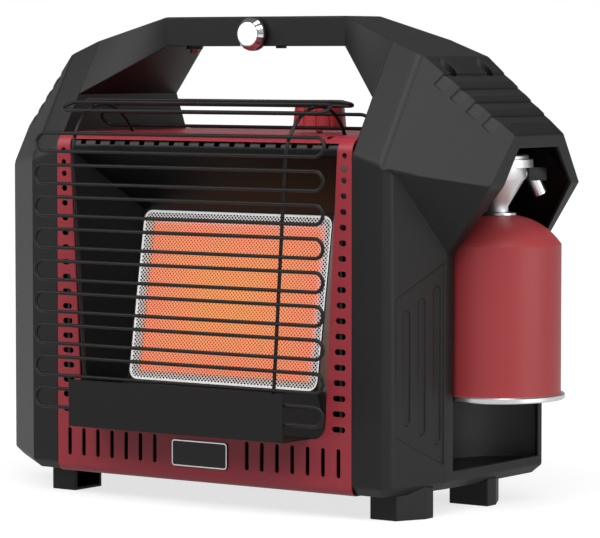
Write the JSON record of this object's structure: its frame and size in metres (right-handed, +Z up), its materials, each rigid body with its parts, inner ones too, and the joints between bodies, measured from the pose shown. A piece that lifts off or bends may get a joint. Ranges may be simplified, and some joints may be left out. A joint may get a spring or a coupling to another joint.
{
  "type": "portable gas heater",
  "caption": "Portable infrared gas heater: red casing with a tilted glowing burner behind a wire guard, black faceted side covers with carrying handle and lamp, screw-on canister in a bay.",
  "frame": {"origin": "on the floor, under the middle of the overall box", "axes": "+X to the heater's left-to-right as seen from the front, towards the canister; +Y to the back; +Z up"},
  "size_m": [0.5396, 0.2768, 0.43],
  "materials": {
    "red_paint": "gloss",
    "black_plastic": "fine grain",
    "black_enamel": "satin",
    "guard_black": "satin",
    "inner_steel": "plain",
    "mesh_steel": "bright",
    "glowing_ceramic": "matte, glowing",
    "brass": "plain",
    "steel_rod": "plain",
    "cast_aluminium": "satin",
    "red_plastic": "gloss",
    "black_parts": "plain",
    "badge_black": "gloss with a bright rim",
    "can_red": "satin",
    "tinplate": "bright",
    "chrome": "polished",
    "lens_white": "frosted",
    "board_green": "plain",
    "cell_wrap": "plain",
    "black_rubber": "plain"
  },
  "bodies": {
    "heater": {"badge_plate": "badge_black", "base_pan": "inner_steel", "battery_cells": "cell_wrap", "bay_liner": "black_plastic", "burner_bracket_left": "inner_steel", "burner_bracket_right": "inner_steel", "burner_frame": "black_enamel", "burner_mesh": "mesh_steel", "burner_plenum": "inner_steel", "burner_spacer": "inner_steel", "ceramic_plaque_left": "glowing_ceramic", "ceramic_plaque_right": "glowing_ceramic", "feet": "black_plastic", "front_panel": "red_paint", "gas_jet": "brass", "gas_pipe": "brass", "gas_valve": "brass", "guard_loops": "guard_black", "guard_plate": "guard_black", "guard_uprights": "guard_black", "handle_shell": "black_plastic", "handle_underside": "black_plastic", "hood_screws": "steel_rod", "ignition_electrode": "steel_rod", "lamp_base": "black_plastic", "lamp_bezel": "chrome", "lamp_board": "board_green", "lamp_lens": "lens_white", "lamp_switch_body": "black_plastic", "left_cover": "black_plastic", "lower_reflector": "black_enamel", "mixing_tube": "cast_aluminium", "panel_rivet": "steel_rod", "piezo_igniter": "black_parts", "pilot_bracket": "inner_steel", "pilot_burner": "brass", "pipe_grommet": "black_rubber", "rear_panel": "inner_steel", "regulator_barrel": "tinplate", "regulator_body": "cast_aluminium", "regulator_bracket": "black_enamel", "regulator_cap": "cast_aluminium", "regulator_outlet_block": "black_parts", "right_cover": "black_plastic", "side_reflector_left": "black_enamel", "side_reflector_right": "black_enamel", "side_wall_left": "inner_steel", "side_wall_right": "inner_steel", "supply_pipe": "brass", "thermocouple": "steel_rod", "tip_switch": "black_parts", "upper_reflector": "black_enamel", "vent_lip": "black_enamel"},
    "stem": {"valve_stem": "steel_rod"},
    "knob": {"control_knob": "red_plastic"},
    "switch_button": {"lamp_switch_button": "red_plastic"},
    "door": {"battery_door": "black_plastic"},
    "canister_cup": {"canister_valve_cup": "tinplate"},
    "canister": {"canister_shell": "can_red", "canister_base": "tinplate"}
  },
  "joints": [
    {"name": "knob_turn", "type": "hinge", "parent": "heater", "child": "stem", "pos_m": [0.05015, 0.00537, 0.3295], "axis": [0, 0, 1], "range_deg": [0, 180]},
    {"name": "knob_push", "type": "slide", "parent": "stem", "child": "knob", "axis": [0, 0, -1], "range_m": [0, 0.002], "stiffness_N_per_m": 400, "springref_m": -0.01},
    {"name": "lamp_switch_push", "type": "slide", "parent": "heater", "child": "switch_button", "axis": [0, 0, 1], "range_m": [0, 0.002], "stiffness_N_per_m": 250, "springref_m": -0.004},
    {"name": "battery_door_swing", "type": "hinge", "parent": "heater", "child": "door", "pos_m": [0.01615, 0.02937, 0.40475], "axis": [1, 0, 0], "range_deg": [0, 90]},
    {"name": "canister_drop", "type": "slide", "parent": "heater", "child": "canister_cup", "axis": [0, 0, -1], "range_m": [0, 0.04]},
    {"name": "canister_turn", "type": "hinge", "parent": "canister_cup", "child": "canister", "pos_m": [0.21135, 0.04637, 0.18], "axis": [0, 0, 1], "continuous": true}
  ]
}
